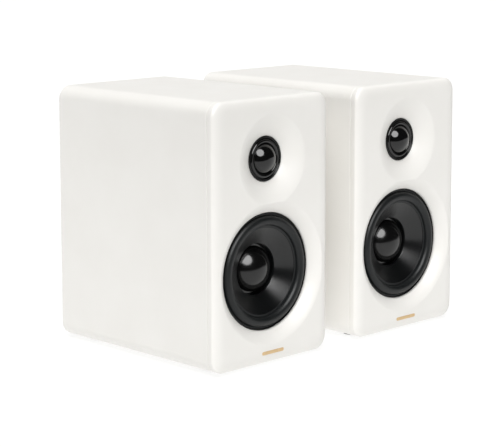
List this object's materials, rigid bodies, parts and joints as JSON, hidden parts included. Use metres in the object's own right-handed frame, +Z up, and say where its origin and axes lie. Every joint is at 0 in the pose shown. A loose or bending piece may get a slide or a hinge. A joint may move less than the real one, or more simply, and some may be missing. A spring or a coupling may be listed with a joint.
{
  "type": "powered desktop loudspeakers",
  "caption": "Compact powered desktop speakers in white cabinets with rounded edges, each with a recessed black woofer, a dome tweeter in a flared waveguide and a reflex port at the back.",
  "frame": {"origin": "on the surface the speakers stand on, midway between the cabinets and midway between their front and back", "axes": "+X towards a listener's right, from the left cabinet to the right one; -Y towards the listener, where the drivers face; +Z up"},
  "size_m": [0.2276, 0.147, 0.168],
  "materials": {
    "cabinet_paint": "satin warm-white paint over fibreboard",
    "baffle_paint": "satin warm-white paint on a moulding",
    "port_plastic": "fine-textured black",
    "foot_rubber": "matte black",
    "basket_plastic": "semi-gloss black",
    "surround_rubber": "satin black",
    "cone_aluminium": "smooth black anodised",
    "dust_cap_black": "polished black",
    "silk_black": "coated black silk with a gloss",
    "coil_copper": "enamelled copper wire",
    "spider_cloth": "resin-stiffened weave",
    "plated_steel": "zinc plated",
    "ferrite": "matte sintered",
    "socket_plastic": "satin black",
    "circuit_board": "green solder mask",
    "plate_aluminium": "fine-textured black coating",
    "sink_aluminium": "extruded, bare",
    "usb_shell_steel": "bright plated"
  },
  "bodies": {
    "left_speaker": {"left_cabinet": "cabinet_paint", "left_front_baffle": "baffle_paint", "left_rear_panel": "cabinet_paint", "left_port_tube": "port_plastic", "left_foot_front_left": "foot_rubber", "left_foot_front_right": "foot_rubber", "left_foot_rear_left": "foot_rubber", "left_foot_rear_right": "foot_rubber", "left_woofer_basket": "basket_plastic", "left_woofer_surround": "surround_rubber", "left_woofer_spider": "spider_cloth", "left_woofer_top_plate": "plated_steel", "left_woofer_magnet": "ferrite", "left_woofer_yoke": "plated_steel", "left_tweeter_faceplate": "basket_plastic", "left_tweeter_surround": "silk_black", "left_tweeter_magnet": "plated_steel", "left_tweeter_yoke": "plated_steel", "left_link_socket": "socket_plastic", "left_crossover_board": "circuit_board"},
    "right_speaker": {"right_cabinet": "cabinet_paint", "right_front_baffle": "baffle_paint", "right_rear_panel": "cabinet_paint", "right_port_tube": "port_plastic", "right_foot_front_left": "foot_rubber", "right_foot_front_right": "foot_rubber", "right_foot_rear_left": "foot_rubber", "right_foot_rear_right": "foot_rubber", "right_woofer_basket": "basket_plastic", "right_woofer_surround": "surround_rubber", "right_woofer_spider": "spider_cloth", "right_woofer_top_plate": "plated_steel", "right_woofer_magnet": "ferrite", "right_woofer_yoke": "plated_steel", "right_tweeter_faceplate": "basket_plastic", "right_tweeter_surround": "silk_black", "right_tweeter_magnet": "plated_steel", "right_tweeter_yoke": "plated_steel", "right_link_socket": "socket_plastic", "right_amplifier_plate": "plate_aluminium", "right_amplifier_board": "circuit_board", "right_heat_sink": "sink_aluminium", "right_transformer": "plated_steel", "right_mains_inlet": "socket_plastic", "right_power_switch_housing": "socket_plastic", "right_aux_socket": "socket_plastic", "right_usb_socket": "usb_shell_steel"},
    "left_woofer_moving": {"left_woofer_cone": "cone_aluminium", "left_woofer_dust_cap": "dust_cap_black", "left_woofer_voice_coil": "coil_copper"},
    "left_tweeter_moving": {"left_tweeter_dome": "silk_black", "left_tweeter_voice_coil": "coil_copper"},
    "right_woofer_moving": {"right_woofer_cone": "cone_aluminium", "right_woofer_dust_cap": "dust_cap_black", "right_woofer_voice_coil": "coil_copper"},
    "right_tweeter_moving": {"right_tweeter_dome": "silk_black", "right_tweeter_voice_coil": "coil_copper"},
    "power_rocker": {"right_power_rocker": "socket_plastic"},
    "volume_knob": {"right_volume_knob": "socket_plastic"},
    "input_button": {"right_input_button": "socket_plastic"}
  },
  "joints": [
    {"name": "speaker_spacing", "type": "slide", "parent": "left_speaker", "child": "right_speaker", "axis": [1, 0, 0], "range_m": [-0.02, 0.25]},
    {"name": "left_woofer_excursion", "type": "slide", "parent": "left_speaker", "child": "left_woofer_moving", "axis": [0, -1, 0], "range_m": [-0.003, 0.003], "stiffness_N_per_m": 1000, "deforming": ["left_woofer_surround", "left_woofer_spider"]},
    {"name": "left_tweeter_excursion", "type": "slide", "parent": "left_speaker", "child": "left_tweeter_moving", "axis": [0, -1, 0], "range_m": [-0.0003, 0.0003], "stiffness_N_per_m": 1000, "deforming": ["left_tweeter_surround"]},
    {"name": "right_woofer_excursion", "type": "slide", "parent": "right_speaker", "child": "right_woofer_moving", "axis": [0, -1, 0], "range_m": [-0.003, 0.003], "stiffness_N_per_m": 1000, "deforming": ["right_woofer_surround", "right_woofer_spider"]},
    {"name": "right_tweeter_excursion", "type": "slide", "parent": "right_speaker", "child": "right_tweeter_moving", "axis": [0, -1, 0], "range_m": [-0.0003, 0.0003], "stiffness_N_per_m": 1000, "deforming": ["right_tweeter_surround"]},
    {"name": "power_rocker_tilt", "type": "hinge", "parent": "right_speaker", "child": "power_rocker", "pos_m": [0.0598, 0.066, 0.03], "axis": [1, 0, 0], "range_deg": [-16, 0]},
    {"name": "volume_turn", "type": "hinge", "parent": "right_speaker", "child": "volume_knob", "pos_m": [0.0838, 0.07, 0.064], "axis": [0, -1, 0], "range_deg": [-150, 150]},
    {"name": "input_press", "type": "slide", "parent": "right_speaker", "child": "input_button", "axis": [0, -1, 0], "range_m": [0, 0.0012], "stiffness_N_per_m": 600}
  ]
}
